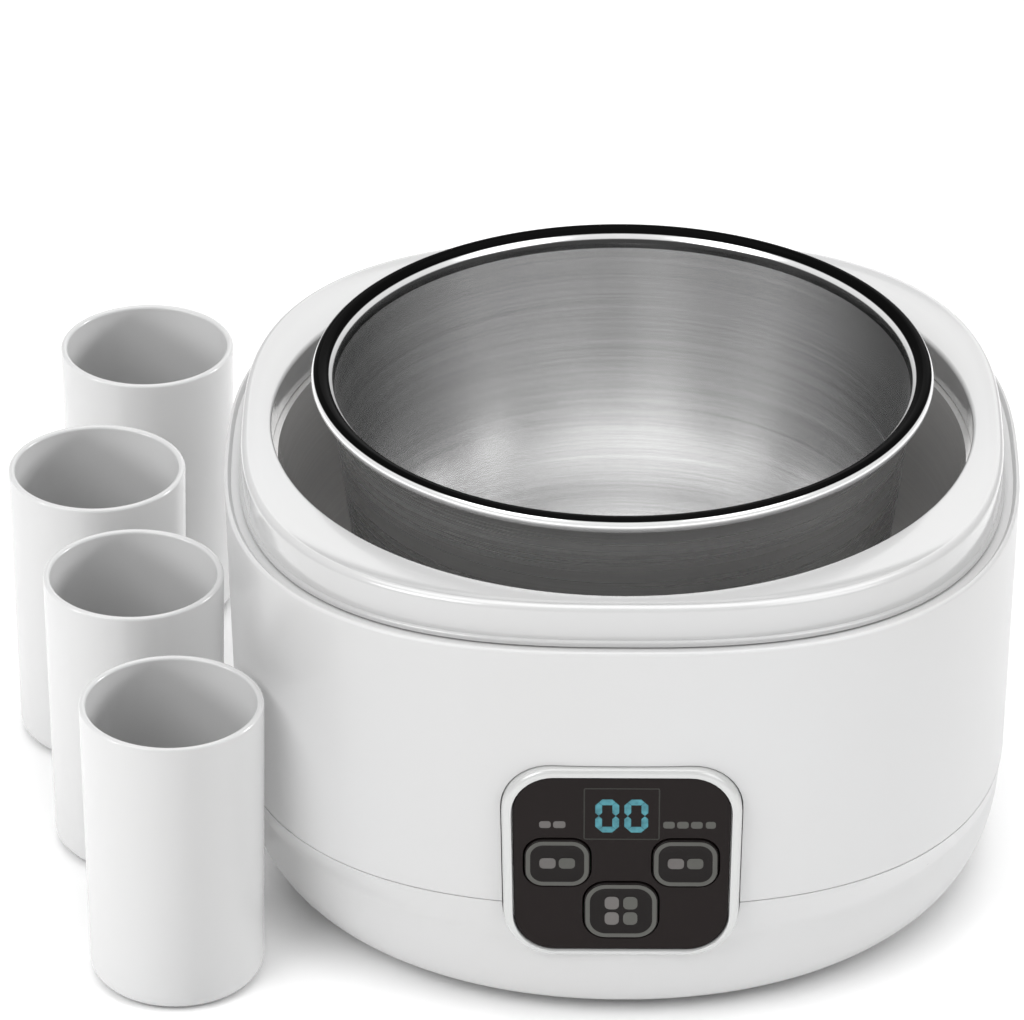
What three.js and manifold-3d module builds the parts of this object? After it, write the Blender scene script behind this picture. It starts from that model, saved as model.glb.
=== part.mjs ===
// A countertop yogurt maker: a rounded-square heated base, a steel bowl that stands in its round
// heating chamber, and four serving cups beside it. Millimetres, +Z up, the control panel faces -Y.
// The origin is on the floor, under the middle of the box that the whole set fills.
import * as THREE from "three";
import { mergeVertices } from "three/addons/utils/BufferGeometryUtils.js";
import Module from "manifold-3d";

const wasm = await Module();
wasm.setup();

// ---- Driving dimensions ----

const GAP = 0.3; // clearance between neighbouring pieces
const WALL = 2.6; // moulded wall thickness

// An outline is |x|^n + |y|^n = half^n: 2 is a circle, and a higher n is squarer.
const ROUND = 2;
const TOP_SQUARENESS = 2.62;
const SEAM_SQUARENESS = 2.5;
const BELLY_SQUARENESS = 2.12;
const UNDERSIDE_SQUARENESS = 2.07;

const UNDERSIDE_Z = 2.2;
const UNDERSIDE_HALF = 88;
const BELLY_Z = 28; // where the rounded bottom meets the wall
const BELLY_HALF = 102.8;
const SEAM_Z = 39.4;
const SEAM_HALF = 103.4;
const LIP_Z = 116.8;
const LIP_HALF = 105.4;
const COLLAR_TOP_Z = 127.6;
const COLLAR_HALF = 101.5;
const OPENING_R = 93;

const CHAMBER_FLOOR_Z = 40.6;
const CHAMBER_FLOOR_R = 70;
const CHAMBER_CORNER = 8;
const CHAMBER_TOP_R = 91.4;
const CHAMBER_SHEET = 1.2;

const BOWL_RIM_R = 82.3;
const BOWL_TOP_Z = 142.5;
const BOWL_SHEET = 1.3;

const CUP_R = 24.2;
const CUP_FOOT_R = 23;
const CUP_HEIGHT = 82;
const CUP_WALL = 1.8;
// Cup centres, from the middle of the base.
const CUP_PLACES = [
  [-132.7, 121.7],
  [-143.2, 51.9],
  [-130.4, -5.8],
  [-117.3, -72.3],
];

const PANEL_Z = 53.5; // height of the middle of the control panel
const PANEL_LEAN = THREE.MathUtils.degToRad(1.5); // the panel faces this far below level
const BEZEL = { width: 62.7, height: 57.7, corner: 13.6, front: 1.6, back: -6, edge: 0.9 };
const BEZEL_TAPER = 0.967; // width at the bottom, as a share of the width at the top
const PANE = { width: 57.6, height: 53.7, corner: 11.2, front: 0.8, back: -1.4, y: -0.4 };
const SIDE_KEY = { width: 17.6, height: 14.9, corner: 5.2 };
const CENTER_KEY = { width: 19.8, height: 17.6, corner: 6 };
const KEY_PLACES = {
  left: [-16.6, 0, SIDE_KEY],
  right: [16.6, 0, SIDE_KEY],
  center: [0, -14.7, CENTER_KEY],
};
const KEY_TRAVEL = 0.6;
const BOARD = 1.6; // circuit board thickness
const CONTROL_BOARD_FRONT = -8; // behind the face of the wall

const FOOT = { radius: 9, at: 46.5, height: UNDERSIDE_Z - GAP };
const COVER = { radius: 52, thickness: 1.9 };
const SCREW = { at: 34.8, shank: 1.4, head: 2.9 };
const POWER_BOARD = { width: 84, depth: 50, z: 14 };
const INLET = { z: 52, width: 24, height: 14, depth: 16, flange: 2, flangeY: 102.9 };
const INLET_FACE = { width: 29, height: 19, corner: 3 };
const PIN = { spacing: 4.3, radius: 1.2, well: 4.5, waist: 6.4, depth: 13, setBack: 1.5 };

const BODY_SIDES = 48;
const CHAMBER_SIDES = 36;
const CUP_SIDES = 24;
const SMALL_SIDES = 12;

const COLORS = {
  shell: 0xf3f2ef,
  bezel: 0xd4d6d6,
  pane: 0x141313,
  key: 0x1a1a1a,
  chamber: 0x4c4d4f,
  steel: 0xb9bbbd,
  cup: 0xf7f6f3,
  rubber: 0x3b3b3b,
  board: 0x1f5c38,
  felt: 0xd9d4c6,
  dark: 0x242424,
};

// ---- Shaping helpers ----

// Radius at an angle of the outline whose half width is 1 and whose exponent is n.
function outlineRadius(angle, n) {
  const x = Math.abs(Math.cos(angle)) ** n;
  const y = Math.abs(Math.sin(angle)) ** n;
  return 1 / (x + y) ** (1 / n);
}

// Turns a profile of [half width, z, exponent] about Z. It runs up the outside and down the inside.
function turned(profile, sides = SMALL_SIDES) {
  const points = profile.map(([half, z]) => new THREE.Vector2(half, z));
  const closed = points[0].x > 0;
  if (closed) points.push(points[0].clone());
  const geometry = new THREE.LatheGeometry(points, sides);
  const position = geometry.attributes.position;
  for (let i = 0; i < position.count; i++) {
    const n = profile[(i % points.length) % profile.length][2] ?? ROUND;
    const angle = Math.atan2(position.getZ(i), position.getX(i));
    const scale = outlineRadius(angle, n);
    position.setXYZ(i, position.getX(i) * scale, position.getY(i), position.getZ(i) * scale);
  }
  return geometry.rotateX(Math.PI / 2);
}

// Profile points on part of an ellipse, angles in degrees from outward, towards up.
function arc(r, z, radiusR, radiusZ, from, to, steps, n = ROUND, nTo = n) {
  return Array.from({ length: steps + 1 }, (_, i) => {
    const angle = THREE.MathUtils.degToRad(THREE.MathUtils.lerp(from, to, i / steps));
    const exponent = THREE.MathUtils.lerp(n, nTo, i / steps);
    return [r + radiusR * Math.cos(angle), z + radiusZ * Math.sin(angle), exponent];
  });
}

// A rounded rectangle in XY, centred on the origin.
function roundedRectangle({ width, height, corner }, grow = 0) {
  const x = width / 2 + grow;
  const y = height / 2 + grow;
  const r = corner + grow;
  const shape = new THREE.Shape();
  shape.absarc(x - r, y - r, r, 0, Math.PI / 2);
  shape.absarc(r - x, y - r, r, Math.PI / 2, Math.PI);
  shape.absarc(r - x, r - y, r, Math.PI, 1.5 * Math.PI);
  shape.absarc(x - r, r - y, r, 1.5 * Math.PI, 2 * Math.PI);
  shape.closePath();
  return shape;
}

// Extrudes a shape in XY from z = back to z = front, with an optional softened edge at both ends.
function plate(shape, back, front, edge = 0) {
  const geometry = new THREE.ExtrudeGeometry(shape, {
    depth: front - back - 2 * edge,
    curveSegments: 4,
    bevelEnabled: edge > 0,
    bevelThickness: edge,
    bevelSize: edge,
    bevelOffset: -edge,
    bevelSegments: 1,
  });
  return geometry.translate(0, 0, back + edge);
}

function box(x, y, z, cx, cy, bottom) {
  return new THREE.BoxGeometry(x, y, z).translate(cx, cy, bottom + z / 2);
}

function rod(radius, bottom, top, x = 0, y = 0, sides = SMALL_SIDES) {
  return new THREE.CylinderGeometry(radius, radius, top - bottom, sides)
    .rotateX(Math.PI / 2)
    .translate(x, y, (bottom + top) / 2);
}

// A round lead along a smooth route.
function lead(radius, route, steps = 14) {
  const curve = new THREE.CatmullRomCurve3(route.map((point) => new THREE.Vector3(...point)));
  const section = new THREE.Shape().absarc(0, 0, radius, 0, 2 * Math.PI);
  return new THREE.ExtrudeGeometry(section, { steps, curveSegments: 4, extrudePath: curve });
}

function solid(geometry) {
  const bare = geometry.clone();
  bare.deleteAttribute("normal");
  bare.deleteAttribute("uv");
  const merged = mergeVertices(bare, 1e-3);
  return new wasm.Manifold(
    new wasm.Mesh({
      numProp: 3,
      vertProperties: new Float32Array(merged.attributes.position.array),
      triVerts: new Uint32Array(merged.index.array),
    }),
  );
}

function geometryOf(manifold) {
  const mesh = manifold.getMesh();
  const geometry = new THREE.BufferGeometry();
  geometry.setAttribute("position", new THREE.BufferAttribute(mesh.vertProperties, mesh.numProp));
  geometry.setIndex(new THREE.BufferAttribute(mesh.triVerts, 1));
  return geometry;
}

// base + added pieces - cut pieces, all geometries in the same frame.
function combined(base, { add = [], cut = [] }) {
  let result = solid(base);
  for (const piece of add) result = result.add(solid(piece));
  for (const piece of cut) result = result.subtract(solid(piece));
  return geometryOf(result);
}

function mesh(parent, name, geometry, color, roughness = 0.5, metalness = 0) {
  const material = new THREE.MeshStandardMaterial({ color, roughness, metalness });
  const made = new THREE.Mesh(geometry, material);
  made.name = name;
  parent.add(made);
  return made;
}

// Half width of the wall between the seam and the lip.
function wallHalf(z) {
  return THREE.MathUtils.mapLinear(z, SEAM_Z, LIP_Z, SEAM_HALF, LIP_HALF);
}

// The four corners of a square or rectangle, counted round from the front left.
function corners(x, y = x) {
  return [
    [-x, -y],
    [x, -y],
    [x, y],
    [-x, y],
  ];
}

// ---- Frames ----

const set = new THREE.Group();
const machine = new THREE.Group();
set.add(machine);

const left = Math.min(...CUP_PLACES.map(([x]) => x)) - CUP_R;
const back = Math.max(...CUP_PLACES.map(([, y]) => y)) + CUP_R;
const bezelTop = BEZEL.height / 2 - BEZEL.edge;
const bezelReach = bezelTop * Math.sin(PANEL_LEAN) + BEZEL.front * Math.cos(PANEL_LEAN);
const front = wallHalf(PANEL_Z) + bezelReach;
machine.position.set(-(left + LIP_HALF) / 2, -(back - front) / 2, 0);

const panel = new THREE.Group();
panel.rotation.x = Math.PI / 2 + PANEL_LEAN;
panel.position.set(0, -wallHalf(PANEL_Z), PANEL_Z);
panel.updateMatrix();
machine.add(panel);

// Narrows a panel-wide piece towards the bottom.
function narrowed(geometry) {
  const position = geometry.attributes.position;
  for (let i = 0; i < position.count; i++) {
    const up = position.getY(i) / BEZEL.height + 0.5;
    const share = THREE.MathUtils.lerp(BEZEL_TAPER, 1, up);
    position.setX(i, position.getX(i) * share);
  }
  return geometry;
}

// ---- Housing ----

const LEDGE_Z = LIP_Z - 1; // the body's inner ledge, which carries the collar and the chamber
const LEDGE_R = CHAMBER_TOP_R + 3;
const SEAM_EDGE = 0.6;

function bodyShell() {
  const bottom = SEAM_Z + GAP;
  const lipEdge = 0.9;
  const profile = [
    [SEAM_HALF - SEAM_EDGE, bottom, SEAM_SQUARENESS],
    [SEAM_HALF, bottom + SEAM_EDGE, SEAM_SQUARENESS],
    ...arc(LIP_HALF - lipEdge, LIP_Z - lipEdge, lipEdge, lipEdge, 0, 90, 3, TOP_SQUARENESS),
    [LIP_HALF - 2 * lipEdge, LEDGE_Z, TOP_SQUARENESS],
    [LEDGE_R, LEDGE_Z, ROUND],
    [LEDGE_R, LEDGE_Z - WALL, ROUND],
    [LIP_HALF - WALL, LEDGE_Z - WALL, TOP_SQUARENESS],
    [SEAM_HALF - WALL, bottom, SEAM_SQUARENESS],
  ];
  return combined(turned(profile, BODY_SIDES), { cut: [panelHole(), inletHole()] });
}

function panelHole() {
  const hole = plate(roundedRectangle(BEZEL, GAP), -14, 6);
  return narrowed(hole).applyMatrix4(panel.matrix);
}

// A plate drawn in XY, stood up to face +Y at the inlet's height.
function facingBack(geometry) {
  return geometry.rotateX(-Math.PI / 2).translate(0, 0, INLET.z);
}

function inletHole() {
  return facingBack(plate(roundedRectangle(INLET_FACE, GAP), SEAM_HALF - 15, SEAM_HALF + 15));
}

// One rod where each of the four base screws is.
function screwRods(radius, bottom, top) {
  return corners(SCREW.at).map(([x, y]) => rod(radius, bottom, top, x, y));
}

const COVER_LEDGE = { inner: 46, outer: 56, bottom: 4.6, top: 6.9 };
const BOSS = { radius: 3.4, top: 13 };

// The rounded bottom of the base, this far inside its outer face; its squareness grows upwards.
function bellyArc(inset, from, to, steps) {
  const radiusR = BELLY_HALF - UNDERSIDE_HALF - inset;
  const radiusZ = BELLY_Z - UNDERSIDE_Z - inset;
  const squareness = (angle) => (angle < 0 ? UNDERSIDE_SQUARENESS : BELLY_SQUARENESS);
  return arc(UNDERSIDE_HALF, BELLY_Z, radiusR, radiusZ, from, to, steps, squareness(from), squareness(to));
}

function baseShell() {
  const top = SEAM_Z - GAP;
  const floor = UNDERSIDE_Z + WALL;
  const profile = [
    [COVER.radius + GAP, UNDERSIDE_Z],
    ...bellyArc(0, -90, 0, 6),
    [SEAM_HALF, top - SEAM_EDGE, SEAM_SQUARENESS],
    [SEAM_HALF - SEAM_EDGE, top, SEAM_SQUARENESS],
    [SEAM_HALF - WALL, top, SEAM_SQUARENESS],
    ...bellyArc(WALL, 0, -90, 4),
    [COVER_LEDGE.outer, floor],
    [COVER_LEDGE.outer, COVER_LEDGE.top],
    [COVER_LEDGE.inner, COVER_LEDGE.top],
    [COVER_LEDGE.inner, COVER_LEDGE.bottom],
    [COVER.radius + GAP, COVER_LEDGE.bottom],
  ];
  const bosses = screwRods(BOSS.radius, COVER_LEDGE.top - 1, BOSS.top);
  const bores = screwRods(SCREW.shank + GAP, COVER_LEDGE.bottom - 1, BOSS.top - 1);
  return combined(turned(profile, BODY_SIDES), { add: bosses, cut: [...bores, panelHole()] });
}

function collar() {
  const shoulder = 2.6;
  const shoulderR = COLLAR_HALF - shoulder;
  const neck = COLLAR_HALF - 2.4;
  const bandBottom = LIP_Z + 0.6;
  const lipBottom = LEDGE_Z + CHAMBER_SHEET + 2 * GAP;
  const ceiling = COLLAR_TOP_Z - WALL;
  return turned(
    [
      [neck, LEDGE_Z + GAP, TOP_SQUARENESS],
      [neck, bandBottom, TOP_SQUARENESS],
      [COLLAR_HALF - 0.4, bandBottom, TOP_SQUARENESS],
      [COLLAR_HALF, bandBottom + 0.5, TOP_SQUARENESS],
      ...arc(shoulderR, COLLAR_TOP_Z - shoulder, shoulder, shoulder, 0, 90, 4, TOP_SQUARENESS),
      [OPENING_R + 0.9, COLLAR_TOP_Z, ROUND],
      [OPENING_R, COLLAR_TOP_Z - 0.8, ROUND],
      [OPENING_R, lipBottom, ROUND],
      [OPENING_R + WALL, lipBottom, ROUND],
      [OPENING_R + WALL, ceiling, ROUND],
      [neck - WALL, ceiling, TOP_SQUARENESS],
      [neck - WALL, LEDGE_Z + GAP, TOP_SQUARENESS],
    ],
    BODY_SIDES,
  );
}

const POST = { x: 36, y: 18, radius: 3.2 };
const VENT = { length: 34, width: 2.6, rows: [-12, -4, 4, 12] };

function baseCover() {
  const bottom = UNDERSIDE_Z + 0.1;
  const top = bottom + COVER.thickness;
  const vents = VENT.rows.map((y) => box(VENT.length, VENT.width, 2 * top, 0, y, 0));
  const bores = screwRods(SCREW.shank + GAP, 0, 2 * top);
  const posts = corners(POST.x, POST.y).map(([x, y]) => {
    return rod(POST.radius, top - 1, POWER_BOARD.z - GAP, x, y);
  });
  const disc = rod(COVER.radius, bottom, top, 0, 0, CHAMBER_SIDES);
  return combined(disc, { add: posts, cut: [...vents, ...bores] });
}

function foot() {
  const edge = 0.7;
  return turned([
    [0, 0],
    [FOOT.radius - edge, 0],
    [FOOT.radius, edge],
    [FOOT.radius, FOOT.height],
    [0, FOOT.height],
  ]);
}

function baseScrew() {
  const headTop = UNDERSIDE_Z - 0.2;
  const headBottom = headTop - 1;
  return turned([
    [0, headBottom],
    [SCREW.head - 0.5, headBottom],
    [SCREW.head, headBottom + 0.5],
    [SCREW.head, headTop],
    [SCREW.shank, headTop],
    [SCREW.shank, BOSS.top - 2],
    [0, BOSS.top - 2],
  ]);
}

function addHousing() {
  mesh(machine, "body_shell", bodyShell(), COLORS.shell, 0.32);
  mesh(machine, "base_shell", baseShell(), COLORS.shell, 0.32);
  mesh(machine, "top_ring", collar(), COLORS.shell, 0.28);
  mesh(machine, "base_cover", baseCover(), COLORS.shell, 0.5);
  corners(FOOT.at).forEach(([x, y], i) => {
    mesh(machine, `foot_${i + 1}`, foot(), COLORS.rubber, 0.9).position.set(x, y, 0);
  });
  corners(SCREW.at).forEach(([x, y], i) => {
    mesh(machine, `base_screw_${i + 1}`, baseScrew(), COLORS.steel, 0.35, 1).position.set(x, y, 0);
  });
}

// ---- Heating chamber and what heats it ----

const CHAMBER_CORNER_Z = CHAMBER_FLOOR_Z + CHAMBER_CORNER;
const CHAMBER_WALL_FOOT_R = CHAMBER_FLOOR_R + CHAMBER_CORNER;

// Inside radius of the chamber's sloping wall.
function chamberRadius(z) {
  return THREE.MathUtils.mapLinear(z, CHAMBER_CORNER_Z, LEDGE_Z, CHAMBER_WALL_FOOT_R, CHAMBER_TOP_R);
}

function chamber() {
  const flangeBottom = LEDGE_Z + GAP;
  const flangeTop = flangeBottom + CHAMBER_SHEET;
  const outer = CHAMBER_CORNER + CHAMBER_SHEET;
  return turned(
    [
      [0, CHAMBER_FLOOR_Z - CHAMBER_SHEET],
      ...arc(CHAMBER_FLOOR_R, CHAMBER_CORNER_Z, outer, outer, -90, 0, 4),
      [CHAMBER_TOP_R + CHAMBER_SHEET, flangeBottom],
      [LEDGE_R + 1.4, flangeBottom],
      [LEDGE_R + 1.4, flangeTop],
      [CHAMBER_TOP_R, flangeTop],
      ...arc(CHAMBER_FLOOR_R, CHAMBER_CORNER_Z, CHAMBER_CORNER, CHAMBER_CORNER, 0, -90, 4),
      [0, CHAMBER_FLOOR_Z],
    ],
    CHAMBER_SIDES,
  );
}

function insulationSleeve() {
  const bottom = 52;
  const top = 110;
  const inside = CHAMBER_SHEET + 0.6;
  const outside = inside + 3;
  return turned(
    [
      [chamberRadius(bottom) + outside, bottom],
      [chamberRadius(top) + outside, top],
      [chamberRadius(top) + inside, top],
      [chamberRadius(bottom) + inside, bottom],
    ],
    CHAMBER_SIDES,
  );
}

const HEATER_TOP = CHAMBER_FLOOR_Z - CHAMBER_SHEET - GAP;
const HEATER_BOTTOM = HEATER_TOP - 2.2;
const CLAMP_TOP = HEATER_BOTTOM - GAP;
const CLAMP_BOTTOM = CLAMP_TOP - 1.6;
const ELEMENT = { ring: 48, tube: 2.4 };
const SENSOR_R = 4.5;

function addHeating() {
  mesh(machine, "heating_chamber", chamber(), COLORS.chamber, 0.4, 0.8);
  mesh(machine, "insulation_sleeve", insulationSleeve(), COLORS.felt, 0.95);
  mesh(machine, "heater_plate", rod(60, HEATER_BOTTOM, HEATER_TOP, 0, 0, 32), COLORS.steel, 0.4, 1);
  const tube = arc(ELEMENT.ring, CLAMP_TOP - ELEMENT.tube, ELEMENT.tube, ELEMENT.tube, 0, 315, 7);
  mesh(machine, "heater_element", turned(tube, 32), COLORS.dark, 0.6);
  const clamp = combined(rod(38, CLAMP_BOTTOM, CLAMP_TOP, 0, 0, 32), {
    cut: [rod(SENSOR_R + GAP, CLAMP_BOTTOM - 5, CLAMP_TOP + 5)],
  });
  mesh(machine, "heater_clamp", clamp, COLORS.steel, 0.45, 1);
  mesh(machine, "temperature_sensor", rod(SENSOR_R, 30, CLAMP_TOP), COLORS.steel, 0.5, 1);
  const fuse = new THREE.CylinderGeometry(2.2, 2.2, 16, SMALL_SIDES).rotateZ(Math.PI / 2);
  mesh(machine, "thermal_fuse", fuse, COLORS.felt, 0.6).position.set(0, 26, CLAMP_BOTTOM - 2.5);
}

// ---- Power electronics and the inlet ----

const PARTS_Z = POWER_BOARD.z + BOARD + GAP;

function inletSocket() {
  const edge = 0.5;
  const bodyDepth = INLET.depth + edge;
  const bodyY = INLET.flangeY + edge - bodyDepth / 2;
  const body = box(INLET.width, bodyDepth, INLET.height, 0, bodyY, INLET.z - INLET.height / 2);
  const mouth = INLET.flangeY + INLET.flange;
  const face = facingBack(plate(roundedRectangle(INLET_FACE), INLET.flangeY, mouth, edge));
  const waist = box(2 * PIN.spacing, 2 * PIN.depth, PIN.waist, 0, mouth, INLET.z - PIN.waist / 2);
  const wells = [-1, 1].map((side) => {
    const well = new THREE.CylinderGeometry(PIN.well, PIN.well, 2 * PIN.depth, SMALL_SIDES);
    return well.translate(side * PIN.spacing, mouth, INLET.z);
  });
  const bores = [-1, 1].map((side) => {
    const boreR = PIN.radius + GAP;
    const bore = new THREE.CylinderGeometry(boreR, boreR, 3 * INLET.depth, SMALL_SIDES);
    return bore.translate(side * PIN.spacing, INLET.flangeY, INLET.z);
  });
  return combined(body, { add: [face], cut: [waist, ...wells, ...bores] });
}

function addPower() {
  const { width, depth, z } = POWER_BOARD;
  mesh(machine, "power_board", box(width, depth, BOARD, 0, 0, z), COLORS.board, 0.5);
  mesh(machine, "transformer", box(27, 23, 17, -22, 0, PARTS_Z), COLORS.dark, 0.5);
  mesh(machine, "relay", box(19, 15, 15, 14, -12, PARTS_Z), COLORS.dark, 0.4);
  mesh(machine, "capacitor", rod(5, PARTS_Z, PARTS_Z + 13, 12, 12), COLORS.dark, 0.3);
  mesh(machine, "terminal_block", box(12, 8, 10, 34, 0, PARTS_Z), COLORS.board, 0.5);
  mesh(machine, "inlet_socket", inletSocket(), COLORS.dark, 0.45);
  [["left", -1], ["right", 1]].forEach(([name, side]) => {
    const pin = new THREE.CylinderGeometry(PIN.radius, PIN.radius, INLET.depth, SMALL_SIDES);
    const placed = mesh(machine, `inlet_pin_${name}`, pin, COLORS.steel, 0.25, 1);
    const middle = INLET.flangeY - INLET.depth / 2 - PIN.setBack;
    placed.position.set(side * PIN.spacing, middle, INLET.z);
  });
  const inletLead = lead(1.5, [
    [8.5, INLET.flangeY - INLET.depth - 1.9, 47],
    [8, 81, 42.5],
    [8, 74, 33],
    [20, 48, 24],
    [33, 20, 22],
    [34, 5, 21],
  ]);
  mesh(machine, "inlet_lead", inletLead, COLORS.dark, 0.6);
  const heaterLead = lead(1.3, [
    [24.5, -12, 22],
    [33, -14, 22.5],
    [41.5, -20, 26],
    [42.8, -21.8, 31],
  ], 8);
  mesh(machine, "heater_lead", heaterLead, COLORS.felt, 0.7);
}

// The flat cable from the back of the control board to the edge of the power board.
function ribbonCable() {
  const width = 12;
  const half = 0.5;
  const route = new THREE.CatmullRomCurve3([
    new THREE.Vector3(-93, 33, 0),
    new THREE.Vector3(-78, 28, 0),
    new THREE.Vector3(-50, 16, 0),
    new THREE.Vector3(-26, POWER_BOARD.z + BOARD / 2, 0),
  ]);
  const sides = [half, -half].map((offset) => {
    return route.getPoints(8).map((point, i, all) => {
      const ahead = route.getTangent(i / (all.length - 1));
      return new THREE.Vector2(point.x - ahead.y * offset, point.y + ahead.x * offset);
    });
  });
  const outline = new THREE.Shape([...sides[0], ...sides[1].reverse()]);
  const strip = new THREE.ExtrudeGeometry(outline, { depth: width, bevelEnabled: false });
  // The outline is drawn as (y, z), so turn its first axis onto Y and its second onto Z.
  const turn = new THREE.Matrix4().makeBasis(
    new THREE.Vector3(0, 1, 0),
    new THREE.Vector3(0, 0, 1),
    new THREE.Vector3(1, 0, 0),
  );
  return strip.translate(0, 0, -width / 2).applyMatrix4(turn);
}

// ---- Control panel, in the panel's own frame: X right, Y up the panel, Z out of it ----

const PANE_SEAT = 1.6; // width of the ledge behind the pane's edge

function bezel() {
  const pocket = plate(roundedRectangle(PANE), PANE.back - GAP, 10).translate(0, PANE.y, 0);
  const through = plate(roundedRectangle(PANE, -PANE_SEAT), -20, 10).translate(0, PANE.y, 0);
  const frame = plate(roundedRectangle(BEZEL), BEZEL.back, BEZEL.front, BEZEL.edge);
  return combined(narrowed(frame), { cut: [narrowed(pocket), narrowed(through)] });
}

function pane() {
  const holes = Object.values(KEY_PLACES).map(([x, y, key]) => {
    return plate(roundedRectangle(key), -10, 10).translate(x, y, 0);
  });
  const glass = plate(roundedRectangle(PANE, -GAP), PANE.back, PANE.front).translate(0, PANE.y, 0);
  return combined(narrowed(glass), { cut: holes });
}

const KEY = { front: 1.4, flange: 0.7, flangeThick: 0.8, stem: 2, stemBack: -4.8 };

function keyCap(key) {
  const flangeFront = PANE.back - GAP;
  const flangeBack = flangeFront - KEY.flangeThick;
  const cap = plate(roundedRectangle(key, -GAP), flangeFront - 0.4, KEY.front, 0.4);
  const flange = plate(roundedRectangle(key, KEY.flange), flangeBack, flangeFront);
  return combined(cap, { add: [flange, rod(KEY.stem, KEY.stemBack, flangeBack + 0.2)] });
}

function addPanel() {
  mesh(panel, "panel_bezel", bezel(), COLORS.bezel, 0.3, 0.4);
  mesh(panel, "panel_window", pane(), COLORS.pane, 0.08);
  const boardBack = CONTROL_BOARD_FRONT - BOARD;
  const partsBack = CONTROL_BOARD_FRONT + GAP;
  mesh(panel, "control_board", box(56, 48, BOARD, 0, 0, boardBack), COLORS.board, 0.5);
  const displayFront = PANE.back - GAP;
  const display = box(24, 12.6, displayFront - partsBack, 0, 15.3, partsBack);
  mesh(panel, "display_module", display, COLORS.dark, 0.4);
  mesh(panel, "buzzer", rod(4.5, partsBack, partsBack + 4, -20.5, 15), COLORS.dark, 0.4);
  mesh(panel, "controller_chip", box(8, 8, 1.4, 20, 16, partsBack), COLORS.dark, 0.4);
  const switchFront = KEY.stemBack - KEY_TRAVEL - 0.1;
  for (const [name, [x, y, key]] of Object.entries(KEY_PLACES)) {
    mesh(panel, `key_${name}`, keyCap(key), COLORS.key, 0.2).position.set(x, y, 0);
    mesh(panel, `switch_${name}`, box(6, 6, switchFront - partsBack, x, y, partsBack), COLORS.dark, 0.5);
  }
}

// ---- Bowl and cups ----

function bowl() {
  const flat = 46;
  const bottom = CHAMBER_FLOOR_Z + GAP;
  const curve = { r: 22, z: 24 };
  const neck = BOWL_RIM_R - 4.9;
  const neckZ = BOWL_TOP_Z - 5.4;
  const inner = (r) => r - BOWL_SHEET;
  return turned(
    [
      [0, bottom],
      ...arc(flat, bottom + curve.z, curve.r, curve.z, -90, -12, 5),
      [neck, neckZ],
      [BOWL_RIM_R - 2.4, neckZ + 0.2],
      ...arc(BOWL_RIM_R - 2.2, BOWL_TOP_Z - 2.4, 2.2, 2.4, -45, 90, 4),
      [BOWL_RIM_R - 4.1, BOWL_TOP_Z - 0.6],
      [inner(neck) + 0.1, BOWL_TOP_Z - 3],
      ...arc(flat, bottom + curve.z, inner(curve.r), inner(curve.z), -12, -90, 5),
      [0, bottom + BOWL_SHEET],
    ],
    CHAMBER_SIDES,
  );
}

function cup() {
  const fillet = 5;
  const corner = CUP_FOOT_R - fillet;
  return turned(
    [
      [0, 0],
      ...arc(corner, fillet, fillet, fillet, -90, 0, 3),
      [CUP_R, CUP_HEIGHT - 0.8],
      [CUP_R - 0.7, CUP_HEIGHT],
      [CUP_R - CUP_WALL + 0.3, CUP_HEIGHT],
      [CUP_R - CUP_WALL, CUP_HEIGHT - 0.8],
      ...arc(corner, fillet + 1, fillet - CUP_WALL, fillet - CUP_WALL, 0, -90, 2),
      [0, fillet + 1 - (fillet - CUP_WALL)],
    ],
    CUP_SIDES,
  );
}

function addVessels() {
  mesh(machine, "inner_bowl", bowl(), COLORS.steel, 0.2, 1);
  CUP_PLACES.forEach(([x, y], i) => {
    mesh(machine, `cup_${i + 1}`, cup(), COLORS.cup, 0.35).position.set(x, y, 0);
  });
}

addHousing();
addHeating();
addPower();
mesh(machine, "ribbon_cable", ribbonCable(), COLORS.bezel, 0.6);
addPanel();
addVessels();

export default set;
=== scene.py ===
import math

import bpy
import numpy as np
from mathutils import Matrix, Vector


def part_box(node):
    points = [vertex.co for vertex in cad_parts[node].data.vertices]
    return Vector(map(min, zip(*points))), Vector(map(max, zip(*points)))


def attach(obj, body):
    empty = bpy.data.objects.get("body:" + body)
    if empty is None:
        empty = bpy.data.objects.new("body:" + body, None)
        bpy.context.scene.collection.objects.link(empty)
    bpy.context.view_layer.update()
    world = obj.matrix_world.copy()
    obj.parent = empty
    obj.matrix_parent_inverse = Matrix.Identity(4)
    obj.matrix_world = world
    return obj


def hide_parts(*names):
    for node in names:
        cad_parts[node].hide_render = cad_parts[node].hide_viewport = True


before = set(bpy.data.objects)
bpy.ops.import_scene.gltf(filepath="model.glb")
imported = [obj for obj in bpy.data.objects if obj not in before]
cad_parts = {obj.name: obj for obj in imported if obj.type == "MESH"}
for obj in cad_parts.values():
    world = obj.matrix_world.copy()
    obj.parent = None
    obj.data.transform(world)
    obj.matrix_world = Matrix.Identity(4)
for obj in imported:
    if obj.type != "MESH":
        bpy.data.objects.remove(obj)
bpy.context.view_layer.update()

MM = 0.001

# ---- The CAD's own dimensions, repeated ----

GAP = 0.3
WALL = 2.6
ROUND = 2
TOP_SQUARENESS = 2.62
SEAM_SQUARENESS = 2.5
BELLY_SQUARENESS = 2.12
UNDERSIDE_SQUARENESS = 2.07

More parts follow.
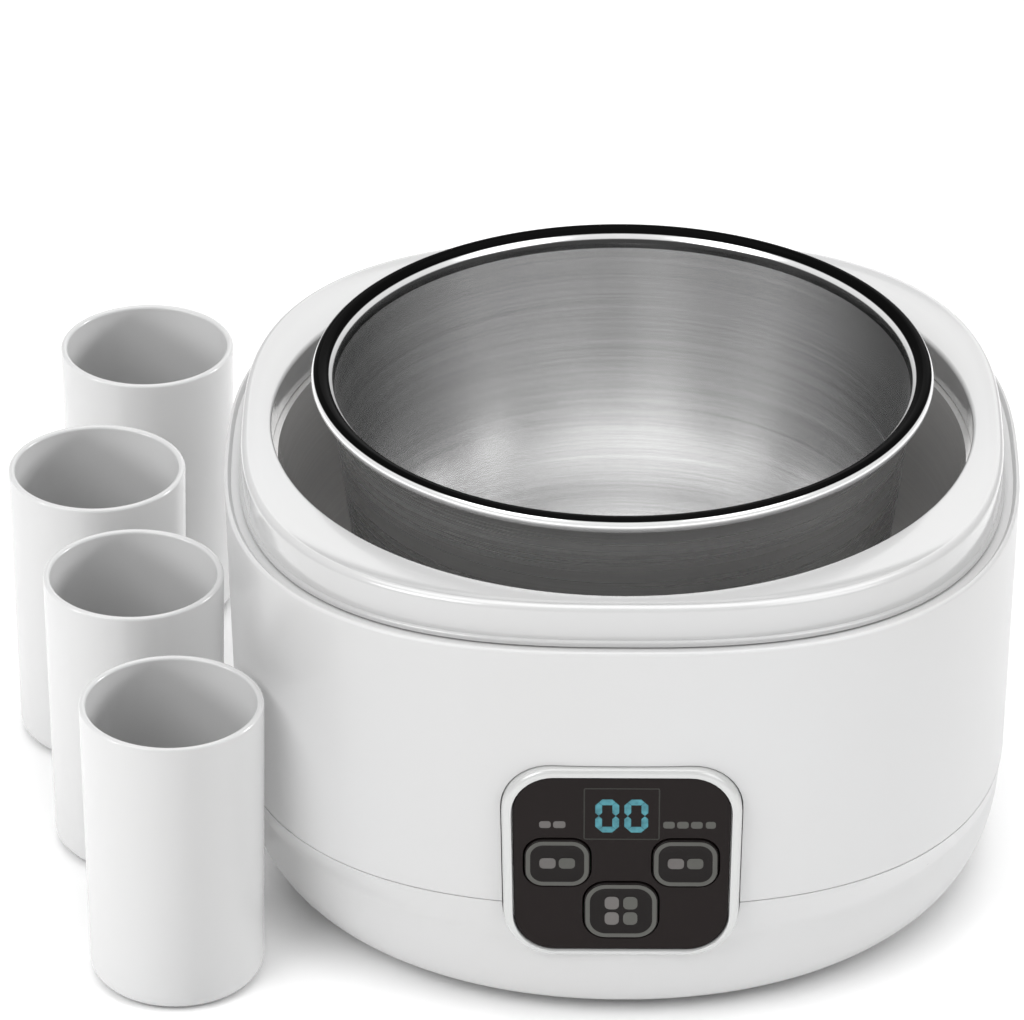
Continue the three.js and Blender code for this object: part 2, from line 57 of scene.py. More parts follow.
UNDERSIDE_Z = 2.2
UNDERSIDE_HALF = 88
BELLY_Z = 28
BELLY_HALF = 102.8
SEAM_Z = 39.4
SEAM_HALF = 103.4
LIP_Z = 116.8
LIP_HALF = 105.4
LIP_EDGE = 0.9
LEDGE_Z = LIP_Z - 1
LEDGE_R = 94.4
COLLAR_TOP_Z = 127.6
COLLAR_HALF = 101.5
OPENING_R = 93

CHAMBER_FLOOR_Z = 40.6
CHAMBER_FLOOR_R = 70
CHAMBER_CORNER = 8
CHAMBER_TOP_R = 91.4
CHAMBER_SHEET = 1.2

BOWL_RIM_R = 82.3
BOWL_TOP_Z = 142.5
BOWL_SHEET = 1.3
BEAD = 2.2
BEAD_R = BOWL_RIM_R - BEAD
BEAD_Z = BOWL_TOP_Z - BEAD

CUP_R = 24.2
CUP_FOOT_R = 23
CUP_HEIGHT = 82
CUP_WALL = 1.8

PANEL_Z = 53.5
PANEL_LEAN = math.radians(1.5)
BEZEL = {"width": 62.7, "height": 57.7, "corner": 13.6, "y": 0}
BEZEL_TAPER = 0.967
BEZEL_BACK = -6
BEZEL_FRONT = 1.6
PANE = {"width": 57.6, "height": 53.7, "corner": 11.2, "y": -0.4}
PANE_BACK = -1.4
PANE_FRONT = 0.8
SIDE_KEY = {"width": 17.6, "height": 14.9, "corner": 5.2}
CENTER_KEY = {"width": 19.8, "height": 17.6, "corner": 6}
KEY_PLACES = {"left": (-16.6, 0, SIDE_KEY), "right": (16.6, 0, SIDE_KEY), "center": (0, -14.7, CENTER_KEY)}
KEY_FRONT = 1.4

FOOT_R = 9
FOOT_HEIGHT = UNDERSIDE_Z - GAP
COVER_R = 52
COVER_BOTTOM = UNDERSIDE_Z + 0.1
COVER_TOP = COVER_BOTTOM + 1.9
SCREW_SHANK = 1.4
SCREW_HEAD = 2.9
INLET_Z = 52
INLET_FACE = {"width": 29, "height": 19, "corner": 3}
INLET_FLANGE_Y = 102.9
INLET_FLANGE = 2
PIN_SPACING = 4.3
PIN_R = 1.2
PIN_WELL = 4.5
PIN_DEPTH = 13

# Cups, feet and cover screws are numbered 1 to 4.
NUMBERED = range(1, 5)

# ---- Details of this model alone ----

# Each shell's rounding at the seam, and half of the gap between the shells.
SEAM_EDGE = 0.22
SEAM_GAP = 0.1
THIN_PRINT = 0.03
BODY_SIDES = 288
ROUND_SIDES = 192
SMALL_SIDES = 48
CREASE_DEGREES = 35
ON_AXIS = 1e-6

collar_low, collar_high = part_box("top_ring")
AXIS = Vector(((collar_low.x + collar_high.x) / 2, (collar_low.y + collar_high.y) / 2, 0))


# ---- Mesh helpers ----

def outline_radius(angle, n):
    """Radius at each angle of the outline |x|^n + |y|^n = 1."""
    return 1 / (np.abs(np.cos(angle)) ** n + np.abs(np.sin(angle)) ** n) ** (1 / n)


def arc(r, z, radius_r, radius_z, start, end, steps, n_start=ROUND, n_end=None):
    """Profile points on part of an ellipse; angles in degrees from outward, towards up."""
    n_end = n_start if n_end is None else n_end
    points = []
    for i in range(steps + 1):
        t = i / steps
        a = math.radians(start + (end - start) * t)
        n = n_start + (n_end - n_start) * t
        points.append((r + radius_r * math.cos(a), z + radius_z * math.sin(a), n))
    return points


def line(a, b, steps):
    """Profile points after a, up to and with b."""
    a, b = np.array(a), np.array(b)
    return [tuple(a + (b - a) * i / steps) for i in range(1, steps + 1)]


def quarter_turn(steps):
    """Angles from 0 to 90 degrees, in radians."""
    return [math.pi / 2 * i / steps for i in range(steps + 1)]


def add_object(name, mesh, location=None, matrix=None):
    """Links an object to the scene, at a location or with a whole matrix."""
    made = bpy.data.objects.new(name, mesh)
    bpy.context.scene.collection.objects.link(made)
    if location is not None:
        made.location = location
    if matrix is not None:
        made.matrix_world = matrix
    return made


def shade(mesh, sharp=CREASE_DEGREES):
    """Smooth shading, creased where faces meet at more than sharp degrees."""
    mesh.shade_smooth()
    mesh.set_sharp_from_angle(angle=math.radians(sharp))


def new_object(name, vertices, faces, sharp=CREASE_DEGREES, **place):
    """A smooth-shaded mesh object from millimetre vertices."""
    mesh = bpy.data.meshes.new(name)
    mesh.from_pydata([tuple(v) for v in np.array(vertices, float) * MM], [], faces)
    mesh.validate()
    shade(mesh, sharp)
    return add_object(name, mesh, **place)


def turned_mesh(profile, sides):
    """Vertices and faces of a profile turned about Z.

    Its points are (half width, z, exponent), and run up the outside and down the inside.
    """
    rows = [p if len(p) == 3 else (*p, ROUND) for p in profile]
    angles = np.arange(sides) * 2 * math.pi / sides
    vertices, ring_of = [], []
    for half, z, n in rows:
        if half < ON_AXIS:
            ring_of.append([len(vertices)])
            vertices.append((0, 0, z))
            continue
        radius = half * outline_radius(angles, n)
        ring_of.append(list(range(len(vertices), len(vertices) + sides)))
        vertices.extend(zip(radius * np.cos(angles), radius * np.sin(angles), [z] * sides))
    faces = []
    pairs = list(zip(ring_of, ring_of[1:]))
    if rows[0][0] > ON_AXIS:
        pairs.append((ring_of[-1], ring_of[0]))
    for low, high in pairs:
        for j in range(sides):
            k = (j + 1) % sides
            if len(low) == 1:
                faces.append((low[0], high[k], high[j]))
            elif len(high) == 1:
                faces.append((low[j], low[k], high[0]))
            else:
                faces.append((low[j], low[k], high[k], high[j]))
    return vertices, faces


def turned(name, profile, sides=ROUND_SIDES, location=AXIS, sharp=CREASE_DEGREES):
    return new_object(name, *turned_mesh(profile, sides), sharp=sharp, location=location)


def rounded_rectangle(shape, grow=0, steps=10):
    """Points counter-clockwise round a rounded rectangle, in XY."""
    x, y = shape["width"] / 2 + grow, shape["height"] / 2 + grow
    r = max(shape["corner"] + grow, 0.05)
    points = []
    for cx, cy, start in ((x - r, y - r, 0), (r - x, y - r, 90), (r - x, r - y, 180), (x - r, r - y, 270)):
        for i in range(steps + 1):
            a = math.radians(start + 90 * i / steps)
            points.append((cx + r * math.cos(a), cy + r * math.sin(a) + shape.get("y", 0)))
    return points


def narrowed(points):
    """The same points drawn in towards the bottom of the panel, as its bezel is."""
    made = []
    for point in points:
        share = BEZEL_TAPER + (1 - BEZEL_TAPER) * (point[1] / BEZEL["height"] + 0.5)
        made.append((point[0] * share, *point[1:]))
    return made


def loft(name, rings, closed=False, **place):
    """A skin over rings of equal length, from back to front; capped at both ends unless closed."""
    count = len(rings[0])
    vertices = [point for ring in rings for point in ring]
    faces = []
    for i in range(len(rings) if closed else len(rings) - 1):
        a, b = i * count, (i + 1) % len(rings) * count
        faces += [(a + j, a + (j + 1) % count, b + (j + 1) % count, b + j) for j in range(count)]
    if not closed:
        faces.append(tuple(reversed(range(count))))
        faces.append(tuple(range(len(vertices) - count, len(vertices))))
    return new_object(name, vertices, faces, **place)


def at_height(points, z):
    return [(x, y, z) for x, y in points]


def evaluated_mesh(obj):
    """What an object's curve or modifiers make of it, as a new mesh."""
    bpy.context.view_layer.update()
    return bpy.data.meshes.new_from_object(obj.evaluated_get(bpy.context.evaluated_depsgraph_get()))


def cut(obj, cutters):
    """Takes the cutters away from an object, and removes them."""
    for cutter in cutters:
        boolean = obj.modifiers.new("cut", "BOOLEAN")
        boolean.operation = "DIFFERENCE"
        boolean.solver = "EXACT"
        boolean.object = cutter
    mesh = evaluated_mesh(obj)
    obj.modifiers.clear()
    obj.data = mesh
    shade(mesh)
    for cutter in cutters:
        bpy.data.objects.remove(cutter)
    return obj


def plate(name, outlines, back, front, edge, **place):
    """A flat plate with a rounded edge: the first outline is its border and the others are holes."""
    curve = bpy.data.curves.new(name, "CURVE")
    curve.dimensions = "2D"
    curve.fill_mode = "BOTH"
    curve.extrude = ((front - back) / 2 - edge) * MM
    curve.bevel_depth = edge * MM
    curve.bevel_resolution = 2
    curve.offset = -edge * MM
    for outline in outlines:
        spline = curve.splines.new("POLY")
        spline.use_cyclic_u = True
        spline.points.add(len(outline) - 1)
        for point, (x, y) in zip(spline.points, outline):
            point.co = (x * MM, y * MM, 0, 1)
    flat = add_object(name + "_curve", curve)
    mesh = evaluated_mesh(flat)
    bpy.data.objects.remove(flat)
    mesh.transform(Matrix.Translation((0, 0, (front + back) / 2 * MM)))
    mesh.materials.clear()
    shade(mesh)
    return add_object(name, mesh, **place)


def fit(piece, body, material, slot, *nodes):
    """Finishes a piece: its material, the body it rides on and the CAD nodes it stands for. Its slot is not
    used.
    """
    piece.data.materials.clear()
    piece.data.materials.append(material)
    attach(piece, body)
    if nodes:
        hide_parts(*nodes)


# ---- Materials ----

class Shader:
    """A Principled material under construction.

    Coordinates are the piece's own, in metres, so a noise's scale counts its marks per metre.
    """

    def __init__(self, name, **inputs):
        self.material = bpy.data.materials.new(name)
        self.material.use_nodes = True
        self.nodes = self.material.node_tree.nodes
        self.links = self.material.node_tree.links
        self.bsdf = self.nodes["Principled BSDF"]
        self.place = self.nodes.new("ShaderNodeTexCoord").outputs["Object"]
        self.last_bump = None
        for key, value in inputs.items():
            self.bsdf.inputs[key.replace("_", " ")].default_value = value

    def math(self, operation, a, b=None):
        node = self.nodes.new("ShaderNodeMath")
        node.operation = operation
        for socket, value in zip(node.inputs, (a, b)):
            if isinstance(value, bpy.types.NodeSocket):
                self.links.new(value, socket)
            elif value is not None:
                socket.default_value = value
        return node.outputs[0]

    def polar(self):
        """Radius, angle and height about the piece's own Z axis."""
        parts = self.nodes.new("ShaderNodeSeparateXYZ")
        self.links.new(self.place, parts.inputs[0])
        x, y, z = parts.outputs
        radius = self.math("SQRT", self.math("ADD", self.math("MULTIPLY", x, x), self.math("MULTIPLY", y, y)))
        return radius, self.math("ARCTAN2", y, x), z

    def around(self):
        """Coordinates for marks that run round the axis: radius, height and a little of the angle."""
        metres_per_radian = 0.0005
        radius, angle, z = self.polar()
        join = self.nodes.new("ShaderNodeCombineXYZ")
        self.links.new(radius, join.inputs[0])
        self.links.new(z, join.inputs[1])
        self.links.new(self.math("MULTIPLY", angle, metres_per_radian), join.inputs[2])
        return join.outputs[0]

    def noise(self, scale, detail=3, source=None, rough=0.5):
        node = self.nodes.new("ShaderNodeTexNoise")
        node.inputs["Scale"].default_value = scale
        node.inputs["Detail"].default_value = detail
        node.inputs["Roughness"].default_value = rough
        self.links.new(source or self.place, node.inputs["Vector"])
        return node.outputs["Fac"]

    def range(self, value, low, high, from_low=0.3, from_high=0.7):
        node = self.nodes.new("ShaderNodeMapRange")
        ends = {"From Min": from_low, "From Max": from_high, "To Min": low, "To Max": high}
        for socket, number in ends.items():
            node.inputs[socket].default_value = number
        self.links.new(value, node.inputs["Value"])
        return node.outputs["Result"]

    def ramp(self, value, *stops):
        ramp = self.nodes.new("ShaderNodeValToRGB")
        elements = ramp.color_ramp.elements
        for i, (at, color) in enumerate(stops):
            element = elements[i] if i < 2 else elements.new(at)
            element.position = at
            element.color = (*color, 1)
        self.links.new(value, ramp.inputs["Fac"])
        return ramp.outputs["Color"]

    def colors(self, value, *stops):
        color = self.ramp(value, *stops)
        self.links.new(color, self.bsdf.inputs["Base Color"])
        return color

    def roughness(self, value, low, high, from_low=0.3, from_high=0.7):
        self.links.new(self.range(value, low, high, from_low, from_high), self.bsdf.inputs["Roughness"])

    def bump(self, value, depth):
        """Adds relief of this depth in metres."""
        node = self.nodes.new("ShaderNodeBump")
        node.inputs["Strength"].default_value = 1
        node.inputs["Distance"].default_value = depth
        self.links.new(value, node.inputs["Height"])
        if self.last_bump:
            self.links.new(self.last_bump, node.inputs["Normal"])
        self.last_bump = node.outputs["Normal"]
        self.links.new(self.last_bump, self.bsdf.inputs["Normal"])


def grey(value, warm=0.0):
    return (value * (1 + warm), value, value * (1 - warm))


def moulded(name, tone, rough=(0.27, 0.33), mottle=0.012, grain=7e-6, warm=0.004, **inputs):
    """Moulded plastic: faint flow marks in the colour, uneven gloss and a fine satin grain."""
    s = Shader(name, **inputs)
    color = grey(tone) if isinstance(tone, float) else tone
    tint = (warm, 0, -warm)
    dark = tuple(c * (1 - mottle) * (1 + t) for c, t in zip(color, tint))
    light = tuple(c * (1 + mottle) * (1 - t) for c, t in zip(color, tint))
    s.colors(s.noise(11, 2), (0.25, dark), (0.75, light))
    s.roughness(s.noise(38, 2), *rough, from_low=0.2, from_high=0.8)
    s.bump(s.noise(1800, 2), grain)
    return s.material


def brushed(name, tone, rough, lines=1800, depth=8e-7, streak=0.05, warm=0.0, metal=1.0):
    """Sheet metal finished on a wheel: hair lines run round the axis."""
    s = Shader(name, Metallic=metal)
    fine = s.noise(lines, 3, source=s.around())
    s.colors(fine, (0.2, grey(tone * (1 - streak), warm)), (0.8, grey(tone * (1 + streak), warm)))
    s.roughness(s.noise(lines * 0.3, 3, source=s.around()), *rough, from_low=0.2, from_high=0.8)
    s.bump(fine, depth)
    return s.material


def painted_reflection_rim(name):
    """The rolled rim, with light painted into its colour: a black painted reflection on the crown between two
    painted highlights, painted shade on the steel inside below them and plain steel outside below them.
    """
    s = Shader(name, IOR=1.06)
    radius, _, z = s.polar()
    inward = s.math("SUBTRACT", BEAD_R * MM, radius)
    upward = s.math("SUBTRACT", z, BEAD_Z * MM)
    turn = s.range(s.math("ARCTAN2", inward, upward), 0, 1, -math.pi, math.pi)

    def bands(*ends):
        """Ramp stops from degrees about the bead, 0 at its top and more towards the inside."""
        return [(0.5 + angle / 360, grey(share)) for angle, share in ends]

    # Painted light: the bright tone is a painted highlight on each flank, the black crown is a painted dark
    # reflection with no metal, and the shaded tone is painted shade on the inner steel.
    steel, painted_highlight, black, shaded = 0.5, 0.95, 0.003, 0.12
    s.colors(turn, *bands((-92, steel), (-82, painted_highlight), (-50, painted_highlight), (-46, black),
                          (70, black), (74, painted_highlight), (93, painted_highlight), (97, shaded)))
    metal = s.ramp(turn, *bands((-47, 0.5), (-46, 0.0), (70, 0.0), (71, 0.5), (93, 0.5), (97, 1.0)))
    s.links.new(metal, s.bsdf.inputs["Metallic"])
    s.roughness(s.noise(900, 3, source=s.around()), 0.12, 0.18)
    s.bump(s.noise(1200, 2, source=s.around()), 4e-7)
    return s.material


def speckled(name, dark, light, rough, scale, depth, metallic=0.0):
    """Fibre, rubber, board or cast part: two colours in a fine grain, with relief of the same grain."""
    s = Shader(name, Metallic=metallic)
    grain = s.noise(scale, 4, rough=0.6)
    s.colors(grain, (0.35, dark), (0.65, light))
    s.roughness(s.noise(scale * 0.3, 3), *rough)
    s.bump(grain, depth)
    return s.material


def glowing(name, low, high, strength):
    """Lit display segments, a little uneven in brightness."""
    s = Shader(name, Roughness=0.4, Emission_Strength=strength)
    color = s.colors(s.noise(700, 2), (0.3, low), (0.7, high))
    s.links.new(color, s.bsdf.inputs["Emission Color"])
    return s.material


SHELL = moulded("white_plastic", 0.61, IOR=1.47)
COLLAR = moulded("white_collar_plastic", 0.56, (0.17, 0.22), grain=3e-6, IOR=1.5, Coat_Weight=1.0,
                 Coat_Roughness=0.1, Coat_IOR=1.6)
CUP = moulded("white_cup_plastic", 0.56, (0.2, 0.26), grain=3e-6, IOR=1.5)
BEZEL_FINISH = moulded("satin_bezel", (0.59, 0.595, 0.59), (0.18, 0.24), Metallic=0.15, grain=3e-6)
PANE_BLACK = moulded("gloss_black_pane", (0.0095, 0.0062, 0.0058), (0.06, 0.1), 0.15, 1e-6, IOR=1.23)
KEY_BLACK = moulded("gloss_black_key", (0.0095, 0.0075, 0.0072), (0.12, 0.18), 0.15, 2e-6, IOR=1.23)
PRINT_GREY = moulded("printed_grey", (0.08, 0.08, 0.072), (0.4, 0.5), 0.12, 2e-6, IOR=1.4)
PRINT_PALE = moulded("printed_pale", (0.12, 0.112, 0.108), (0.4, 0.5), 0.2, 2e-6, IOR=1.4)
PRINT_FRAME = moulded("printed_frame", (0.03, 0.03, 0.026), (0.25, 0.35), 0.1, 2e-6, IOR=1.3)
GLOW = glowing("lit_segments", (0.016, 0.105, 0.13), (0.04, 0.2, 0.24), 0.4)
STEEL = brushed("brushed_bowl_steel", 0.72, (0.2, 0.28), depth=1.2e-6, streak=0.1)
STEEL_OUTSIDE = brushed("brushed_bowl_outside", 0.66, (0.22, 0.32), streak=0.07)
# The rim's colour holds painted reflections, painted highlights and painted shade.
RIM_PAINTED_REFLECTIONS = painted_reflection_rim("rim_steel_painted_reflections")
CHAMBER_METAL = brushed("chamber_metal", 0.88, (0.2, 0.28), warm=0.01, metal=0.6)
SCREW_METAL = brushed("screw_steel", 0.5, (0.25, 0.4), 2200, 4e-6)
PIN_METAL = brushed("plated_pin", 0.62, (0.15, 0.25), 2500, 2e-6, warm=0.03)
HEATER_METAL = brushed("heater_aluminium", 0.55, (0.35, 0.5), 1200, 8e-6)
RUBBER = speckled("grey_rubber", grey(0.03), grey(0.05), (0.75, 0.9), 1600, 2e-5)
ELEMENT = speckled("element_oxide", (0.03, 0.03, 0.035), (0.06, 0.055, 0.055), (0.5, 0.7), 900, 1e-5, 0.6)
FELT = speckled("insulation_felt", (0.5, 0.47, 0.4), (0.72, 0.69, 0.6), (0.9, 1.0), 2200, 1.5e-4)
BOARD = speckled("circuit_board", (0.01, 0.07, 0.03), (0.016, 0.12, 0.05), (0.3, 0.45), 500, 1e-5)
PART_DARK = speckled("dark_part", grey(0.015), grey(0.028), (0.4, 0.55), 1300, 1e-5)
INLET_DARK = speckled("inlet_plastic", grey(0.02), grey(0.03), (0.4, 0.5), 1500, 1.2e-5)
SLEEVE = speckled("lead_sleeve_weave", (0.55, 0.5, 0.4), (0.75, 0.72, 0.62), (0.7, 0.85), 1800, 6e-5)


# ---- Housing ----

def wall_half(z):
    """Half width of the upper shell's wall at a height."""
    return SEAM_HALF + (LIP_HALF - SEAM_HALF) * (z - SEAM_Z) / (LIP_Z - SEAM_Z)


PANEL_PLACE = AXIS + Vector((0, -wall_half(PANEL_Z) * MM, PANEL_Z * MM))
PANEL = Matrix.Translation(PANEL_PLACE) @ Matrix.Rotation(math.pi / 2 + PANEL_LEAN, 4, "X")
BACK_WALL = Matrix.Translation(AXIS + Vector((0, 0, INLET_Z * MM))) @ Matrix.Rotation(-math.pi / 2, 4, "X")


def panel_hole():
    outline = narrowed(rounded_rectangle(BEZEL, GAP))
    behind, before = -14, 6
    return loft("panel_hole", [at_height(outline, behind), at_height(outline, before)], matrix=PANEL)


def inlet_hole():
    outline = rounded_rectangle(INLET_FACE, GAP)
    reach = 15
    rings = [at_height(outline, SEAM_HALF - reach), at_height(outline, SEAM_HALF + reach)]
    return loft("inlet_hole", rings, matrix=BACK_WALL)


def body_shell():
    bottom = SEAM_Z + SEAM_GAP
    foot = (SEAM_HALF, bottom + SEAM_EDGE, SEAM_SQUARENESS)
    head = (LIP_HALF, LIP_Z - LIP_EDGE, TOP_SQUARENESS)
    profile = [
        *arc(SEAM_HALF - SEAM_EDGE, bottom + SEAM_EDGE, SEAM_EDGE, SEAM_EDGE, -90, 0, 4, SEAM_SQUARENESS),
        *line(foot, head, 28)[:-1],
        *arc(LIP_HALF - LIP_EDGE, LIP_Z - LIP_EDGE, LIP_EDGE, LIP_EDGE, 0, 90, 8, TOP_SQUARENESS),
        (LIP_HALF - 2 * LIP_EDGE, LEDGE_Z, TOP_SQUARENESS),
        (LEDGE_R, LEDGE_Z),
        (LEDGE_R, LEDGE_Z - WALL),
        (LIP_HALF - WALL, LEDGE_Z - WALL, TOP_SQUARENESS),
        (SEAM_HALF - WALL, bottom, SEAM_SQUARENESS),
    ]
    shell = cut(turned("upper_shell", profile, BODY_SIDES), [panel_hole(), inlet_hole()])
    fit(shell, "base", SHELL, "white_shell", "body_shell")


def base_shell():
    top = SEAM_Z - SEAM_GAP
    radius_r, radius_z = BELLY_HALF - UNDERSIDE_HALF, BELLY_Z - UNDERSIDE_Z
    ledge_outer, ledge_inner, ledge_top, ledge_bottom = 56, 46, 6.9, 4.6
    mouth, chamfer = COVER_R + GAP, 0.4
    mouth_edge = (mouth + chamfer, UNDERSIDE_Z, ROUND)
    underside_edge = (UNDERSIDE_HALF, UNDERSIDE_Z, UNDERSIDE_SQUARENESS)
    belly = (BELLY_HALF, BELLY_Z, BELLY_SQUARENESS)
    profile = [
        (mouth, UNDERSIDE_Z + chamfer),
        mouth_edge,
        *line(mouth_edge, underside_edge, 3)[:-1],
        *arc(UNDERSIDE_HALF, BELLY_Z, radius_r, radius_z, -90, 0, 36, UNDERSIDE_SQUARENESS, BELLY_SQUARENESS),
        *line(belly, (SEAM_HALF, top - SEAM_EDGE, SEAM_SQUARENESS), 5)[:-1],
        *arc(SEAM_HALF - SEAM_EDGE, top - SEAM_EDGE, SEAM_EDGE, SEAM_EDGE, 0, 90, 4, SEAM_SQUARENESS),
        (SEAM_HALF - WALL, top, SEAM_SQUARENESS),
        *arc(UNDERSIDE_HALF, BELLY_Z, radius_r - WALL, radius_z - WALL, 0, -90, 12, BELLY_SQUARENESS,
             UNDERSIDE_SQUARENESS),
        (ledge_outer, UNDERSIDE_Z + WALL),
        (ledge_outer, ledge_top),
        (ledge_inner, ledge_top),
        (ledge_inner, ledge_bottom),
        (mouth, ledge_bottom),
    ]
    shell = cut(turned("lower_shell", profile, BODY_SIDES), [panel_hole()])
    fit(shell, "base", SHELL, "white_shell", "base_shell")


def collar():
    """The ring on top: a flange low down, a rounded shoulder, a dished top and the round opening."""
    ridge, dish, flange, foot_edge, mouth_edge = 1.7, 0.5, 0.6, 0.3, 1.1
    band = COLLAR_HALF - flange
    neck = COLLAR_HALF - 1.5
    foot_z = LEDGE_Z + GAP
    flange_z = LEDGE_Z + 0.45
    ceiling = COLLAR_TOP_Z - WALL
    mouth_z = COLLAR_TOP_Z - dish
    mouth_bottom = LEDGE_Z + CHAMBER_SHEET + 2 * GAP
    outer = (band - ridge - 1.6, mouth_z, TOP_SQUARENESS)
    inner = (OPENING_R + mouth_edge, mouth_z, ROUND)
    profile = [
        (neck, foot_z, TOP_SQUARENESS),
        (neck, flange_z, TOP_SQUARENESS),
        *arc(COLLAR_HALF - foot_edge, flange_z + foot_edge, foot_edge, foot_edge, -90, 0, 3, TOP_SQUARENESS),
        *arc(band, flange_z + 1.0, flange, flange, 0, 60, 4, TOP_SQUARENESS),
        (band, flange_z + 1.8, TOP_SQUARENESS),
        *arc(band - ridge, COLLAR_TOP_Z - ridge, ridge, ridge, 0, 100, 14, TOP_SQUARENESS),
        outer,
        *line(outer, inner, 3)[:-1],
        *arc(OPENING_R + mouth_edge, mouth_z - mouth_edge, mouth_edge, mouth_edge, 90, 180, 6),
        (OPENING_R, mouth_bottom),
        (OPENING_R + WALL, mouth_bottom),
        (OPENING_R + WALL, ceiling),
        (neck - WALL, ceiling, TOP_SQUARENESS),
        (neck - WALL, foot_z, TOP_SQUARENESS),
    ]
    fit(turned("collar", profile, BODY_SIDES), "base", COLLAR, "white_collar", "top_ring")


# ---- Underside ----

def middle(node):
    """The point on the floor under the middle of a CAD node."""
    low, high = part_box(node)
    return Vector(((low.x + high.x) / 2, (low.y + high.y) / 2, 0))


def circle(radius, x=0, y=0, sides=SMALL_SIDES):
    angles = [2 * math.pi * i / sides for i in range(sides)]
    return [(x + radius * math.cos(a), y + radius * math.sin(a)) for a in angles]


def slot_outline(length, width, y=0):
    """A long hole with round ends."""
    return rounded_rectangle({"width": length, "height": width, "corner": width / 2 - 0.01, "y": y}, steps=6)


def underside_cover():
    screws = [(middle(f"base_screw_{i}") - AXIS) / MM for i in NUMBERED]
    holes = [circle(SCREW_SHANK + GAP, at.x, at.y) for at in screws]
    vents = [slot_outline(34, 2.6, y) for y in (-12, -4, 4, 12)]
    border = circle(COVER_R, sides=ROUND_SIDES)
    cover = plate("underside_cover", [border, *vents, *holes], COVER_BOTTOM, COVER_TOP, 0.35, location=AXIS)
    fit(cover, "base", SHELL, "white_shell", "base_cover")


def feet():
    edge = 0.7
    hollow = [(0, 0.35), (4.6, 0.35), (5, 0.1), (5.4, 0)]
    side = arc(FOOT_R - edge, edge, edge, edge, -90, 0, 5)
    pad = [*hollow, *side, (FOOT_R, FOOT_HEIGHT), (0, FOOT_HEIGHT)]
    for i in NUMBERED:
        foot = turned(f"rubber_foot_{i}", pad, SMALL_SIDES, location=middle(f"foot_{i}"))
        fit(foot, "base", RUBBER, "foot_rubber", f"foot_{i}")


def cover_screws():
    """Cross-slot screws, each with its slot turned a little further than the last."""
    head_height, tip, slot_depth = 1, 11, 0.75
    low = UNDERSIDE_Z - 0.2 - head_height
    profile = [
        (0, low), (1.9, low + 0.05), (2.5, low + 0.3), (SCREW_HEAD, low + 0.7),
        (SCREW_HEAD, low + head_height), (SCREW_SHANK, low + head_height), (SCREW_SHANK, tip), (0, tip),
    ]
    blade = [at_height(slot_outline(3.4, 0.7), low - 1), at_height(slot_outline(2.6, 0.6), low + slot_depth)]
    for i in NUMBERED:
        at = middle(f"base_screw_{i}")
        head = turned(f"cover_screw_{i}", profile, SMALL_SIDES, location=at)
        turns = [Matrix.Rotation(turn + 0.5 * i, 4, "Z") for turn in (0, math.pi / 2)]
        blades = [loft("blade", blade, matrix=Matrix.Translation(at) @ turn) for turn in turns]
        fit(cut(head, blades), "base", SCREW_METAL, "screw_steel", f"base_screw_{i}")


# ---- Heating chamber, bowl and cups ----

def chamber():
    corner_z = CHAMBER_FLOOR_Z + CHAMBER_CORNER
    flange_bottom = LEDGE_Z + GAP
    flange_top = flange_bottom + CHAMBER_SHEET
    outer = CHAMBER_CORNER + CHAMBER_SHEET
    flange_r = LEDGE_R + 1.4
    ridges = ((62, 0), (61.4, 0.25), (60.2, 0.25), (59.6, 0), (40, 0), (39.4, 0.25), (38.2, 0.25), (37.6, 0))
    wall_top = (CHAMBER_TOP_R, flange_top, ROUND)
    wall_foot = (CHAMBER_FLOOR_R + CHAMBER_CORNER, corner_z, ROUND)
    profile = [
        (0, CHAMBER_FLOOR_Z - CHAMBER_SHEET),
        *arc(CHAMBER_FLOOR_R, corner_z, outer, outer, -90, 0, 10),
        (CHAMBER_TOP_R + CHAMBER_SHEET, flange_bottom),
        (flange_r, flange_bottom),
        (flange_r, flange_top),
        (CHAMBER_TOP_R + 0.5, flange_top),
        wall_top,
        *line(wall_top, wall_foot, 12)[:-1],
        *arc(CHAMBER_FLOOR_R, corner_z, CHAMBER_CORNER, CHAMBER_CORNER, 0, -90, 14),
        *((r, CHAMBER_FLOOR_Z + rise) for r, rise in ridges),
        (0, CHAMBER_FLOOR_Z),
    ]
    fit(turned("chamber_liner", profile), "base", CHAMBER_METAL, "chamber_grey", "heating_chamber")


